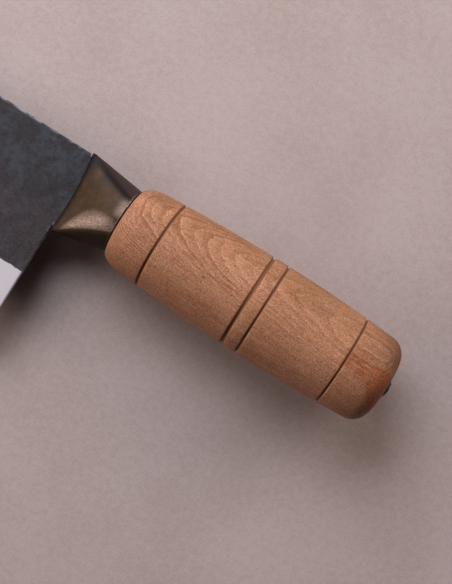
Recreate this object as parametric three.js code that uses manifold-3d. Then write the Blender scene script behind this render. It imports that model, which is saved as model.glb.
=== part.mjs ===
import * as THREE from "three";
import Module from "manifold-3d";
import { mergeVertices } from "three/addons/utils/BufferGeometryUtils.js";

// Millimetres. While it is built, the handle axis is X: heel at 0, butt toward +X, spine toward +Y.

// Blade
const bladeLength = 180; // heel to tip
const spineAboveAxis = 13.4;
const heelHeight = 70; // spine to edge
const shoulderDrop = 46; // spine to the top of the ground bevel
const edgeFlat = 85; // straight part of the edge, from the heel
const edgeRise = 7; // climb of the edge from there to the tip
const clipRun = 52; // part of the length taken by the angled tip
const spineThickness = 3;
const shoulderThickness = 2.5; // at the top of the bevel
const tipThinning = 0.8; // thickness lost from heel to tip
const edgeThickness = 0.3;
const coreThickness = 1;
const weldGap = 0.04; // hairline between core and cladding

// Sleeve between blade and handle
const sleeveLength = 20.3; // heel to the front of the handle
const mouthRadius = 15.1; // half the height of the mouth
const mouthDrop = 0.9; // the mouth sits this much toward the edge
const mouthThickness = 5.2;
const mouthSquareness = 5; // 2 is an ellipse, more is squarer
const slotSquareness = 14; // of the hollow at the mouth
const cornerFade = 3.5; // how soon the squareness is lost behind the mouth
const flareSlope = 1.38; // of the faces at the mouth, 1 is an even rise to the rim
const rimRadius = 11.6; // round end
const rimGap = 0.45; // rim to the front of the handle
const hornReach = 1.7; // upper corner of the mouth, forward of the heel
const scoopBack = 0.6; // middle of the mouth, behind the heel
const sleeveWall = 1.4;
const spigotRadius = 10.7;
const spigotLength = 6; // inside the handle

// Handle
const handleLength = 102;
const bellyRadius = 17;
const bellyAt = 57.5; // from the front
const frontRadius = 14.75;
const frontFaceRadius = 12;
const buttRadius = 15.1;
const frontRound = 7.5;
const buttRound = 6;
const buttFaceRadius = 9;
const buttDome = 0.5;
const grooves = [
  { at: 14.4, width: 0.9 },
  { at: 48.5, width: 1.3 },
  { at: 54.2, width: 1 },
  { at: 85.4, width: 0.9 },
]; // from the front
const grooveDepth = 0.9;
const buttWood = 8; // length of the close hole at the butt

// Tang rod
const rodRadius = 2.6;
const headRadius = 3.05; // clenched end
const headProud = 1.2; // beyond the butt
const forkHeight = 11;
const forkCheek = 1.7; // thickness of each side
const forkDepth = 5;
const forkRoot = 3.5; // solid part behind the slot
const beddingThickness = 0.8;

const fit = 0.3; // clearance between pieces
const roundSteps = 48;

const wasm = await Module();
wasm.setup();

function solid(geometry) {
  const open = geometry.index ? geometry.toNonIndexed() : geometry;
  const bare = new THREE.BufferGeometry();
  bare.setAttribute("position", open.getAttribute("position"));
  const merged = mergeVertices(bare, 1e-4);
  const corners = merged.index.array;
  const kept = [];
  for (let i = 0; i < corners.length; i += 3) {
    const [a, b, c] = corners.slice(i, i + 3);
    if (a !== b && b !== c && c !== a) kept.push(a, b, c);
  }
  const vertProperties = merged.getAttribute("position").array;
  return new wasm.Manifold(new wasm.Mesh({ numProp: 3, vertProperties, triVerts: new Uint32Array(kept) }));
}

function piece(name, body, material) {
  const mesh = body.getMesh();
  const geometry = new THREE.BufferGeometry();
  geometry.setAttribute("position", new THREE.BufferAttribute(mesh.vertProperties, mesh.numProp));
  geometry.setIndex(new THREE.BufferAttribute(mesh.triVerts, 1));
  const made = new THREE.Mesh(geometry, material);
  made.name = name;
  return made;
}

// Rings of equal count, ordered from -X to +X, each running from +Y toward +Z.
function loft(rings) {
  const count = rings[0].length;
  const last = (rings.length - 1) * count;
  const index = [];
  for (let start = 0; start < last; start += count) {
    for (let i = 0; i < count; i++) {
      const a = start + i;
      const b = start + ((i + 1) % count);
      index.push(a, b, b + count, a, b + count, a + count);
    }
  }
  for (let i = 1; i + 1 < count; i++) {
    index.push(0, i + 1, i, last, last + i, last + i + 1);
  }
  const geometry = new THREE.BufferGeometry().setFromPoints(rings.flat());
  return solid(geometry.setIndex(index));
}

// Profile points are [x, radius], turned about the X axis.
function turned(profile) {
  const points = profile.map(([x, radius]) => new THREE.Vector2(radius, x));
  return solid(new THREE.LatheGeometry(points, roundSteps).rotateZ(-Math.PI / 2));
}

function plate(shape, thickness) {
  const settings = { depth: thickness, bevelEnabled: false, curveSegments: 16 };
  return solid(new THREE.ExtrudeGeometry(shape, settings).translate(0, 0, -thickness / 2));
}

function polygon(corners) {
  return new THREE.Shape(corners.map(([x, y]) => new THREE.Vector2(x, y)));
}

function box(x0, x1, height, thickness) {
  return solid(new THREE.BoxGeometry(x1 - x0, height, thickness).translate((x0 + x1) / 2, 0, 0));
}

const edgeDrop = heelHeight - spineAboveAxis;
const shoulderY = spineAboveAxis - shoulderDrop;
const clipX = clipRun - bladeLength;
const stubLength = sleeveLength * 0.62;
const stubTop = mouthRadius - sleeveWall - fit - mouthDrop;
const stubBottom = stubTop + 2 * mouthDrop;
const rimX = sleeveLength - rimGap;
const sleeveEnd = sleeveLength + spigotLength;
const seatRadius = spigotRadius + fit;
const seatEnd = sleeveEnd + fit;
const holeRadius = rodRadius + fit;
const boreRadius = rodRadius + beddingThickness + fit;
const buttX = sleeveLength + handleLength;

// Height of the edge along the blade.
function edgeY(x) {
  const climb = THREE.MathUtils.clamp((-x - edgeFlat) / (bladeLength - edgeFlat), 0, 1);
  return edgeRise * climb * climb - edgeDrop;
}

// Half the thickness between the flats, a plane on each side.
function flatZ(x, y) {
  const thinned = (x * tipThinning) / bladeLength;
  const narrowed = ((y - spineAboveAxis) * (spineThickness - shoulderThickness)) / shoulderDrop;
  return (spineThickness + thinned + narrowed) / 2;
}

// Places along the edge, heel first.
function edgeStations() {
  const flat = [0, 0.25, 0.5, 0.75].map((share) => -edgeFlat * share);
  const belly = Array.from({ length: 11 }, (_, i) => -edgeFlat - ((bladeLength - edgeFlat) * i) / 10);
  return [...flat, ...belly];
}

function bladeShape() {
  const notch = -hornReach - fit;
  return polygon([
    ...edgeStations().map((x) => [x, edgeY(x)]).reverse(),
    [0, stubTop],
    [notch, stubTop],
    [notch, spineAboveAxis],
    [clipX, spineAboveAxis],
  ]);
}

// Tongue of the blade that enters the sleeve.
function stubShape(grow) {
  return polygon([
    [-1, -stubBottom - grow],
    [stubLength + grow, -forkHeight / 2 - grow],
    [stubLength + grow, forkHeight / 2 + grow],
    [-1, stubTop + grow],
  ]);
}

function flats() {
  const low = -edgeDrop - 10;
  const high = spineAboveAxis + 10;
  return loft([-bladeLength - 5, stubLength + 5].map((x) => [
    new THREE.Vector3(x, high, -flatZ(x, high)),
    new THREE.Vector3(x, high, flatZ(x, high)),
    new THREE.Vector3(x, low, flatZ(x, low)),
    new THREE.Vector3(x, low, -flatZ(x, low)),
  ]));
}

// Removes the ground bevel of one side: a ruled face from the shoulder line to the edge.
function bevelCutter(side) {
  const reach = 12;
  const far = 2 * spineThickness;
  const stations = [10, ...edgeStations(), -bladeLength - 10].reverse();
  return loft(stations.map((x) => {
    const edge = edgeY(x);
    const slope = (flatZ(x, shoulderY) - edgeThickness / 2) / (shoulderY - edge);
    const inner = (y) => edgeThickness / 2 + slope * (y - edge);
    const ring = [
      new THREE.Vector3(x, shoulderY + reach, side * inner(shoulderY + reach)),
      new THREE.Vector3(x, shoulderY + reach, side * far),
      new THREE.Vector3(x, edge - reach, side * far),
      new THREE.Vector3(x, edge - reach, side * inner(edge - reach)),
    ];
    return side > 0 ? ring : ring.reverse();
  }));
}

function bladeBody() {
  const thick = 4 * spineThickness;
  const blank = plate(bladeShape(), thick).add(plate(stubShape(0), thick));
  return blank.intersect(flats()).subtract(bevelCutter(1)).subtract(bevelCutter(-1));
}

// The part of the blade between two heights across its thickness.
function bladeLayer(from, to) {
  const wide = 3 * bladeLength;
  const slab = new THREE.BoxGeometry(wide, wide, to - from).translate(0, 0, (from + to) / 2);
  return bladeBody().intersect(solid(slab));
}

function bladeCore() {
  const half = (coreThickness - weldGap) / 2;
  return bladeLayer(-half, half);
}

function cladding(side) {
  const near = (side * (coreThickness + weldGap)) / 2;
  const far = 2 * side * spineThickness;
  return bladeLayer(Math.min(near, far), Math.max(near, far));
}

// A skin that is flat at the mouth of the sleeve, rises straight and levels to a circle at the rim.
function sleeveSkin(mouthTop, mouthHalf, squareness, rim, end) {
  const steps = 11;
  const levelling = flareSlope / (flareSlope - 1);
  const flare = Array.from({ length: steps + 1 }, (_, i) => (rimX * i) / steps);
  return loft([-5, ...flare, end].map((x) => {
    const share = Math.min(1, x / rimX);
    const rise = Math.max(0, share);
    const swell = flareSlope * rise - (flareSlope - 1) * rise ** levelling;
    const height = THREE.MathUtils.lerp(mouthTop, rim, share);
    const half = THREE.MathUtils.lerp(mouthHalf, rim, swell);
    const flatness = (1 - rise) ** cornerFade;
    const power = 2 / THREE.MathUtils.lerp(2, squareness, flatness);
    const drop = mouthDrop * (1 - share);
    return Array.from({ length: roundSteps }, (_, i) => {
      const turn = (2 * Math.PI * (i + 0.5)) / roundSteps;
      const [y, z] = [Math.cos(turn), Math.sin(turn)].map((v) => Math.sign(v) * Math.abs(v) ** power);
      return new THREE.Vector3(x, height * y - drop, half * z);
    });
  }));
}

// Everything behind the scooped line of the mouth.
function mouthRegion() {
  const wide = mouthRadius * 1.05;
  const control = 2 * scoopBack + (hornReach - fit) / 2;
  const shape = new THREE.Shape();
  shape.moveTo(-hornReach, wide);
  shape.quadraticCurveTo(control, 0, fit, -wide);
  shape.lineTo(3 * sleeveLength, -wide);
  shape.lineTo(3 * sleeveLength, wide);
  return plate(shape, 4 * mouthRadius);
}

function sleeveHollow(gap) {
  const mouthHalf = spineThickness / 2 + fit - gap;
  const wall = sleeveWall + gap;
  return sleeveSkin(mouthRadius - wall, mouthHalf, slotSquareness, spigotRadius - wall, sleeveEnd + 1);
}

function sleeve() {
  const skin = sleeveSkin(mouthRadius, mouthThickness / 2, mouthSquareness, rimRadius, rimX + 0.01);
  const outside = skin.intersect(mouthRegion());
  const spigot = turned([[rimX - 1, 0], [rimX - 1, spigotRadius], [sleeveEnd, spigotRadius], [sleeveEnd, 0]]);
  return outside.add(spigot).subtract(sleeveHollow(0));
}

function fork(grow) {
  const slot = spineThickness + 2 * fit;
  const front = stubLength - forkDepth - grow;
  const back = stubLength + fit + forkRoot + grow;
  return { front, back, height: forkHeight + 2 * grow, thickness: slot + 2 * forkCheek + 2 * grow, slot };
}

function tangRod() {
  const { front, back, height, thickness, slot } = fork(0);
  const seat = buttX + buttDome + fit / 2;
  const end = buttX + buttDome + headProud;
  const rod = turned([
    [back - 1, 0],
    [back - 1, rodRadius],
    [seat, rodRadius],
    [seat, headRadius],
    [(seat + end) / 2, headRadius],
    [end, headRadius * 0.8],
    [end, 0],
  ]);
  const block = box(front, back, height, thickness);
  return block.subtract(box(front - 1, stubLength + fit, 2 * height, slot)).add(rod);
}

// Fills the hollow of the sleeve behind the mouth, around stub, fork and rod.
function sleeveFiller() {
  const gap = fit / 2;
  const { front, back, height, thickness } = fork(gap);
  const end = sleeveEnd - gap;
  const stub = plate(stubShape(gap), spineThickness + 2 * gap);
  const rod = turned([[front, 0], [front, rodRadius + gap], [2 * end, rodRadius + gap], [2 * end, 0]]);
  const fill = sleeveHollow(gap).intersect(box(sleeveLength * 0.28, end, 4 * mouthRadius, 4 * mouthRadius));
  return fill.subtract(stub).subtract(box(front, back, height, thickness)).subtract(rod);
}

function handleBedding() {
  const gap = fit / 2;
  const start = seatEnd + gap;
  const end = buttX - buttWood - gap;
  const inner = rodRadius + gap;
  const outer = boreRadius - gap;
  return turned([[start, inner], [start, outer], [end, outer], [end, inner], [start, inner]]);
}

// Radius of the handle, at a distance from its front.
function handleRadius(from) {
  const ahead = from < bellyAt;
  const share = ahead ? 1 - from / bellyAt : (from - bellyAt) / (handleLength - bellyAt);
  const barrel = bellyRadius - (bellyRadius - (ahead ? frontRadius : buttRadius)) * share * share;
  const front = Math.max(0, 1 - from / frontRound);
  const butt = Math.max(0, 1 - (handleLength - from) / buttRound);
  const frontLoss = (frontRadius - frontFaceRadius) * (1 - Math.sqrt(1 - front * front));
  const buttLoss = (buttRadius - buttFaceRadius) * (1 - Math.sqrt(1 - butt * butt));
  return barrel - frontLoss - buttLoss;
}

function handleProfile() {
  const round = [0, 0.04, 0.13, 0.28, 0.5, 0.75, 1];
  const front = round.map((share) => share * frontRound);
  const butt = round.map((share) => handleLength - share * buttRound).reverse();
  const middle = Array.from({ length: 10 }, (_, i) => frontRound + (i + 1) * 8);
  const plain = [...front, ...middle, ...butt].filter((from) =>
    grooves.every(({ at, width }) => Math.abs(from - at) > width));
  const points = plain.map((from) => [from, handleRadius(from)]);
  for (const { at, width } of grooves) {
    const floor = handleRadius(at) - grooveDepth;
    const floorHalf = width * 0.35;
    points.push([at - width / 2, handleRadius(at - width / 2)], [at - floorHalf, floor]);
    points.push([at + floorHalf, floor], [at + width / 2, handleRadius(at + width / 2)]);
  }
  return points.sort((a, b) => a[0] - b[0]).map(([from, radius]) => [sleeveLength + from, radius]);
}

function handle() {
  const dome = [0.8, 0.55].map((share) => [buttX + buttDome * (1 - share * share), buttFaceRadius * share]);
  return turned([
    ...handleProfile(),
    ...dome,
    [buttX + buttDome, holeRadius],
    [buttX - buttWood, holeRadius],
    [buttX - buttWood, boreRadius],
    [seatEnd, boreRadius],
    [seatEnd, seatRadius],
    [sleeveLength, seatRadius],
    handleProfile()[0],
  ]);
}

function material(color, metalness, roughness) {
  return new THREE.MeshStandardMaterial({ color, metalness, roughness });
}

const scale = material(0x3d3c41, 0.5, 0.6);
const steel = material(0xc4c0c6, 1, 0.3);
const bronze = material(0x6b5344, 1, 0.4);
const wood = material(0xaf7a60, 0, 0.6);
const resin = material(0x2b2724, 0, 0.7);
const iron = material(0x2f2d2e, 0.6, 0.7);

const knife = new THREE.Group();
knife.add(
  piece("blade_core", bladeCore(), steel),
  piece("cladding_left", cladding(1), scale),
  piece("cladding_right", cladding(-1), scale),
  piece("sleeve", sleeve(), bronze),
  piece("tang_rod", tangRod(), iron),
  piece("sleeve_filler", sleeveFiller(), resin),
  piece("handle_bedding", handleBedding(), resin),
  piece("handle", handle(), wood),
);

// Upward direction of the table that touches the lower edge of the angled tip and the front of the handle.
function tableUp() {
  const tip = new THREE.Vector3(-bladeLength, edgeY(-bladeLength), -edgeThickness / 2);
  const share = (shoulderY - tip.y) / (spineAboveAxis - tip.y);
  const x = -bladeLength + share * clipRun;
  const along = new THREE.Vector3(x, shoulderY, -flatZ(x, shoulderY)).sub(tip);
  let up = new THREE.Vector3(0, 0, 1);
  for (let i = 0; i < 20; i++) {
    const down = new THREE.Vector3(0, -up.y, -up.z).normalize();
    const touch = down.multiplyScalar(handleRadius(frontRound)).setX(sleeveLength + frontRound);
    up = touch.sub(tip).cross(along).normalize();
  }
  return up;
}

knife.quaternion.setFromUnitVectors(tableUp(), new THREE.Vector3(0, 0, 1));
const part = new THREE.Group().add(knife);
const bounds = new THREE.Box3().setFromObject(part, true);
const middle = bounds.getCenter(new THREE.Vector3());
knife.position.set(-middle.x, -middle.y, -bounds.min.z);

export default part;
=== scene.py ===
import math
from types import SimpleNamespace

import bmesh
import bpy
from mathutils import Matrix, Quaternion, Vector, noise


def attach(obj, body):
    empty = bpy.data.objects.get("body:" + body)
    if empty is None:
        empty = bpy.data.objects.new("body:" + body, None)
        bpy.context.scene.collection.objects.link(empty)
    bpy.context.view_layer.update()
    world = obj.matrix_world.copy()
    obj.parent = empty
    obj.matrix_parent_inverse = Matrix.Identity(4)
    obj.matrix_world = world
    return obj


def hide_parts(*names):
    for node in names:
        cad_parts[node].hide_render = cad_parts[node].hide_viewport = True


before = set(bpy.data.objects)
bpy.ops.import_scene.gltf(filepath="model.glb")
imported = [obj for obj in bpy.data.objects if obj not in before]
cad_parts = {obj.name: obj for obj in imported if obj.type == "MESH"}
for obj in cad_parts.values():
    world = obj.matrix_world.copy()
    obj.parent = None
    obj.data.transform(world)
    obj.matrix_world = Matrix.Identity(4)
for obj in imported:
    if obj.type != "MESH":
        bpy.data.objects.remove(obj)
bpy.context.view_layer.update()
scene = bpy.context.scene
print("frame loaded:", sorted(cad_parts))

# How the knife lies: its own frame has the handle axis on X, heel at 0, spine on +Y, millimetres.
knife = {
    "place": (27.84674, 19.80227, 13.12028),
    "turn": (0.99918554, -0.01066825, -0.03891586, 0.0),
    "mm": 0.001,
}
knifeTurn = Quaternion(knife["turn"])
knifeMatrix = (
    Matrix.Translation(Vector(knife["place"]) * knife["mm"])
    @ knifeTurn.to_matrix().to_4x4()
    @ Matrix.Scale(knife["mm"], 4)
)


def onKnife(x, y, z):
    return knifeMatrix @ Vector((x, y, z))


def smoothStep(value, low, high):
    share = min(1.0, max(0.0, (value - low) / (high - low)))
    return share * share * (3 - 2 * share)


def lerp(a, b, share):
    return a + (b - a) * share


# Camera, straight above the handle
view = {
    "angle": 32.5,          # the knife's axis falls this much to the right
    "aim": (61.3, -1.5),    # point of the knife at the picture's middle
    "foot": (77.0, -1.5),   # point of the axis square under the lens
    "distance": 367.0,
    "focalPixels": 1100.0,
    "picture": (452, 584),
    "sensor": 36.0,
    "nearest": 0.01,
}


def makeCamera():
    lens = bpy.data.cameras.new("camera")
    camera = bpy.data.objects.new("camera", lens)
    scene.collection.objects.link(camera)
    place = onKnife(*view["foot"], view["distance"])
    look = (onKnife(*view["aim"], 0) - place).normalized()
    tilt = math.radians(view["angle"])
    right = knifeTurn @ Vector((math.cos(tilt), math.sin(tilt), 0))
    right = (right - look * right.dot(look)).normalized()
    up = right.cross(look)
    turned = Matrix((right, up, -look)).transposed().to_4x4()
    camera.matrix_world = Matrix.Translation(place) @ turned
    lens.sensor_fit = "AUTO"
    lens.sensor_width = view["sensor"]
    lens.lens = view["sensor"] * view["focalPixels"] / max(view["picture"])
    lens.clip_start = view["nearest"]
    scene.camera = camera


makeCamera()
print("camera set")


# Small helpers for node trees. A value is a socket or a plain number.
def nodeKit(tree):
    def add(kind, **values):
        node = tree.nodes.new(kind)
        for key, value in values.items():
            setattr(node, key, value)
        return node

    def feed(socket, value):
        if isinstance(value, bpy.types.NodeSocket):
            tree.links.new(value, socket)
        else:
            socket.default_value = value

    def calc(operation, a, b=0.0):
        node = add("ShaderNodeMath", operation=operation)
        feed(node.inputs[0], a)
        feed(node.inputs[1], b)
        return node.outputs[0]

    def plus(*values):
        total = values[0]
        for value in values[1:]:
            total = calc("ADD", total, value)
        return total

    def times(*values):
        product = values[0]
        for value in values[1:]:
            product = calc("MULTIPLY", product, value)
        return product

    def minus(a, b):
        return calc("SUBTRACT", a, b)

    def least(a, b):
        return calc("MINIMUM", a, b)

    def most(a, b):
        return calc("MAXIMUM", a, b)

    def size(value):
        return calc("ABSOLUTE", value)

    def power(value, exponent):
        return calc("POWER", value, exponent)

    def clamped(value):  # the sum or product stays between 0 and 1
        value.node.use_clamp = True
        return value

    def between(share, low, high):  # low where the share is 0, high where it is 1
        return plus(low, times(share, high - low))

    def about(value, amount):  # noise swings evenly to both sides of zero
        return times(minus(value, 0.5), amount)

    def within(value, start, end):  # smooth rise from start to end, also downward
        node = add("ShaderNodeMapRange", interpolation_type="SMOOTHSTEP")
        feed(node.inputs["Value"], value)
        node.inputs["From Min"].default_value = start
        node.inputs["From Max"].default_value = end
        return node.outputs["Result"]

    def oval(x, y, middle, halves):  # 1 on the outline, less inside
        parts = [calc("DIVIDE", minus(value, at), half) for value, at, half in zip((x, y), middle, halves)]
        return plus(power(parts[0], 2.0), power(parts[1], 2.0))

    def split(vector):
        node = add("ShaderNodeSeparateXYZ")
        feed(node.inputs[0], vector)
        return node.outputs[:]

    def join(x, y, z):
        node = add("ShaderNodeCombineXYZ")
        for socket, value in zip(node.inputs, (x, y, z)):
            feed(socket, value)
        return node.outputs[0]

    def grain(vector, scale, detail, roughness, stretch=None):  # stretch where it runs long
        if stretch:
            longer = add("ShaderNodeVectorMath", operation="MULTIPLY")
            feed(longer.inputs[0], vector)
            longer.inputs[1].default_value = stretch
            vector = longer.outputs[0]
        node = add("ShaderNodeTexNoise")
        feed(node.inputs["Vector"], vector)
        node.inputs["Scale"].default_value = scale
        node.inputs["Detail"].default_value = detail
        node.inputs["Roughness"].default_value = roughness
        return node.outputs["Fac"]

    def painted(name):
        return add("ShaderNodeAttribute", attribute_name=name).outputs["Fac"]

    def tint(share, a, b):
        node = add("ShaderNodeMix", data_type="RGBA")
        feed(node.inputs["Factor"], share)
        for socket, value in ((node.inputs[6], a), (node.inputs[7], b)):
            feed(socket, value if isinstance(value, bpy.types.NodeSocket) else (*value, 1))
        return node.outputs[2]

    def scaleColor(color, share):
        node = add("ShaderNodeVectorMath", operation="SCALE")
        feed(node.inputs[0], color)
        feed(node.inputs["Scale"], share)
        return node.outputs[0]

    return SimpleNamespace(
        add=add, feed=feed, calc=calc, plus=plus, times=times, minus=minus, least=least, most=most,
        size=size, power=power, clamped=clamped, between=between, about=about, within=within, oval=oval,
        split=split, join=join, grain=grain, painted=painted, tint=tint, scaleColor=scaleColor)


# A finish reads Object coordinates, turned into the knife's own millimetres.
def newFinish(name):
    finish = bpy.data.materials.new(name)
    finish.use_nodes = True
    kit = nodeKit(finish.node_tree)
    shader = finish.node_tree.nodes["Principled BSDF"]
    coordinates = kit.add("ShaderNodeTexCoord").outputs["Object"]
    mapping = kit.add("ShaderNodeMapping", vector_type="TEXTURE")
    kit.feed(mapping.inputs["Vector"], coordinates)
    mapping.inputs["Location"].default_value = Vector(knife["place"]) * knife["mm"]
    mapping.inputs["Rotation"].default_value = knifeTurn.to_euler()
    mapping.inputs["Scale"].default_value = (knife["mm"],) * 3
    return finish, kit, shader, mapping.outputs[0]


def raiseGrain(kit, shader, height, distance):
    node = kit.add("ShaderNodeBump")
    kit.feed(node.inputs["Height"], height)
    node.inputs["Distance"].default_value = distance
    node.inputs["Strength"].default_value = 1.0
    kit.feed(shader.inputs["Normal"], node.outputs[0])


def dress(kit, shader, sockets):
    for name, value in sockets.items():
        kit.feed(shader.inputs[name], value)


# Turned hardwood. Places along the handle are from the heel, heights from its axis.
# A layer of grain is given by how fine it is, its detail, its roughness and its stretch.
growth = {
    "pithAway": 62.0,           # heart of the tree, from the handle axis
    "pithSide": 36.0,           # degrees from straight down
    "lean": 0.08,               # of the rings along the handle
    "width": 0.7,
    "sway": (0.09, 3, 0.5, (0.35, 1, 1)),
    "swayBy": 2.0,
    "jitter": (0.8, 3, 0.5, (0.3, 1, 1)),
    "jitterBy": 0.35,
    "late": ((0.0, 0.78), (0.9, 0.78)),   # dark line, rise and fall within a ring
    "lateBy": 0.5,
    "early": ((0.8, 0.9), (1.0, 0.92)),   # pale line after it
    "earlyBy": 0.38,
    "strength": (0.4, 1.2),     # differs from ring to ring
    "clearAbove": (-6.0, 6.0),
    "clear": (0.35, 1.0),
    "cornerAlong": (104.0, 112.0),
    "cornerAbove": (-1.0, 6.0),
    "cornerBy": 0.6,            # clearer at the upper corner of the butt
    "front": (44.0, 30.0),
    "frontBy": 1.25,            # and toward the sleeve
}


def growthRings(kit, place, x, y, z):
    plus, times, minus, within, grain = kit.plus, kit.times, kit.minus, kit.within, kit.grain
    side = math.radians(growth["pithSide"])
    outward = plus(times(y, math.sin(side)), times(z, math.cos(side)))
    outward = plus(outward, growth["pithAway"], times(x, growth["lean"]))
    across = minus(times(y, math.cos(side)), times(z, math.sin(side)))
    radius = kit.calc("SQRT", plus(kit.power(outward, 2.0), kit.power(across, 2.0)))
    sway = times(grain(place, *growth["sway"]), growth["swayBy"])
    jitter = times(grain(place, *growth["jitter"]), growth["jitterBy"])
    count = kit.calc("DIVIDE", plus(radius, plus(sway, jitter)), growth["width"])
    phase = kit.calc("FRACT", count)
    late = times(*(within(phase, *ends) for ends in growth["late"]))
    early = times(*(within(phase, *ends) for ends in growth["early"]))
    single = kit.add("ShaderNodeTexWhiteNoise", noise_dimensions="1D")
    kit.feed(single.inputs["W"], kit.calc("FLOOR", count))
    ring = minus(times(late, growth["lateBy"]), times(early, growth["earlyBy"]))
    ring = times(ring, kit.between(single.outputs["Value"], *growth["strength"]))
    clear = kit.between(within(y, *growth["clearAbove"]), *growth["clear"])
    corner = times(within(x, *growth["cornerAlong"]), within(y, *growth["cornerAbove"]))
    clear = plus(clear, times(corner, growth["cornerBy"]))
    return times(ring, kit.most(clear, times(within(x, *growth["front"]), growth["frontBy"])))


# A darker figure fills the lower butt and sends a streaked tongue forward to the last groove.
figure = {
    "tip": 104.5,
    "start": 114.2,
    "top": 5.0,
    "neck": -1.4,
    "slant": 0.72,
    "wave": (0.35, 3, 0.6, (0.6, 1, 0.4)),
    "waveBy": 3.0,
    "streaks": (1.3, 3, 0.6, (0.22, 1, 0.5)),
    "streaksFrom": (0.3, 0.5),
    "streaksBy": 0.95,
    "edge": (-0.5, 1.3),
    "tongueEdge": (-0.8, 1.6),
}


def buttFigure(kit, place, x, y):
    plus, times, minus, within = kit.plus, kit.times, kit.minus, kit.within
    wave = kit.about(kit.grain(place, *figure["wave"]), figure["waveBy"])
    underTop = plus(wave, minus(figure["top"], y))
    slant = times(kit.most(minus(figure["neck"], y), 0.0), figure["slant"])
    toButt = plus(wave, minus(minus(x, figure["start"]), slant))
    toNeck = kit.least(minus(x, figure["tip"]), plus(wave, minus(y, figure["neck"])))
    streaks = within(kit.grain(place, *figure["streaks"]), *figure["streaksFrom"])
    main = within(kit.least(underTop, toButt), *figure["edge"])
    tongue = within(kit.least(underTop, toNeck), *figure["tongueEdge"])
    return kit.most(main, times(tongue, times(streaks, figure["streaksBy"])))


wood = {
    "light": (0.452, 0.227, 0.133),
    "dark": (0.260, 0.100, 0.045),
    "goldenLight": (0.338, 0.172, 0.086),
    "goldenDark": (0.19, 0.082, 0.036),
    # painted shade: darker copies of the wood for the rounded butt end
    "stainLight": (0.165, 0.069, 0.033),
    "stainDark": (0.088, 0.032, 0.013),
    "buttLight": (0.306, 0.097, 0.037),
    "buttDark": (0.153, 0.0415, 0.0155),
    # painted shade in the grooves, the tang hole and the bore
    "groove": (0.195, 0.080, 0.040),
    "fleckTone": (0.06, 0.023, 0.012),
    "tone": 0.36,               # 0 is light, 1 is dark
    "fibre": (3.4, 3, 0.7, (0.3, 1, 1)),
    "fibreBy": 1.1,
    "streak": (1.5, 4, 0.7, (0.05, 1, 1)),
    "streakBy": 1.6,
    "pores": (2.6, 2, 0.5, (0.16, 1, 1)),
    "poresFrom": (0.62, 0.74),
    "poresBy": 0.35,
    "turning": (1.0, 2, 0.6),
    "turningSpread": (2.6, 1.6),  # along and around
    "turningBy": 0.4,
    "mottle": (0.16, 3, 0.5, (0.5, 1, 1)),
    "mottleBy": 0.9,
    "speckle": (4.6, 2, 0.75, (0.4, 1, 1)),
    "speckleShade": (-0.7, 2.7),
    "golden": (0.1, 3, 0.5, (0.4, 1, 1)),
    "goldenWave": 26.0,
    "goldenAbove": (5.0, 15.0),
    "goldenToButt": (108.0, 120.0),
    "goldenShare": 0.75,
    # painted shade over the rounded butt end, stronger on its upper side
    "stainToButt": (106.0, 121.0),
    "stainAbove": (2.0, 12.0),
    "stainShare": (0.3, 0.8),   # below and above
    "figureShare": 0.85,
    "fleck": (53.5, -1.3),      # one dark speck in the grain
    "fleckHalf": (0.8, 0.3),
    "fleckFade": (1.6, 0.6),
    "fleckShare": 0.9,
    "rough": (0.46, 0.66),
    "relief": (0.8, 0.5, 0.5),  # fibre, turning, pores
    "reliefDeep": 0.00006,
    "specular": 0.2,
}


def makeWood():
    finish, kit, shader, place = newFinish("turnedWood")
    plus, times, within, about, tint = kit.plus, kit.times, kit.within, kit.about, kit.tint
    x, y, z = kit.split(place)
    fibre, streak, mottle, speckle, golden = (
        kit.grain(place, *wood[layer]) for layer in ("fibre", "streak", "mottle", "speckle", "golden"))
    pores = within(kit.grain(place, *wood["pores"]), *wood["poresFrom"])
    along, around = wood["turningSpread"]
    spread = kit.join(times(x, along), times(kit.calc("ARCTAN2", y, z), around), 0.0)
    turning = kit.grain(spread, *wood["turning"])
    share = plus(wood["tone"], growthRings(kit, place, x, y, z))
    share = plus(share, about(fibre, wood["fibreBy"]), about(streak, wood["streakBy"]))
    share = plus(share, times(pores, wood["poresBy"]), about(turning, wood["turningBy"]))
    share = kit.clamped(plus(share, about(mottle, wood["mottleBy"])))
    color = tint(share, wood["light"], wood["dark"])
    golden = within(plus(y, about(golden, wood["goldenWave"])), *wood["goldenAbove"])
    golden = times(kit.most(golden, within(x, *wood["goldenToButt"])), wood["goldenShare"])
    color = tint(golden, color, tint(share, wood["goldenLight"], wood["goldenDark"]))
    # Painted shade over the rounded butt end, which turns away from the lamps.
    buttShade = kit.between(within(y, *wood["stainAbove"]), *wood["stainShare"])
    buttShade = times(within(x, *wood["stainToButt"]), buttShade)
    color = tint(buttShade, color, tint(share, wood["stainLight"], wood["stainDark"]))
    darker = times(buttFigure(kit, place, x, y), wood["figureShare"])
    color = tint(darker, color, tint(share, wood["buttLight"], wood["buttDark"]))
    color = kit.scaleColor(color, kit.between(speckle, *wood["speckleShade"]))
    fleck = plus(kit.oval(x, y, wood["fleck"], wood["fleckHalf"]), fibre)
    color = tint(times(within(fleck, *wood["fleckFade"]), wood["fleckShare"]), color, wood["fleckTone"])
    # Painted shade in the grooves, the tang hole and the bore.
    color = tint(kit.painted("cut"), color, wood["groove"])
    rough = kit.between(fibre, *wood["rough"])
    dress(kit, shader, {"Base Color": color, "Roughness": rough, "Specular IOR Level": wood["specular"]})
    raised, ridged, sunk = (times(layer, by) for layer, by in zip((fibre, turning, pores), wood["relief"]))
    raiseGrain(kit, shader, kit.minus(plus(raised, ridged), sunk), wood["reliefDeep"])
    return finish
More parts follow.
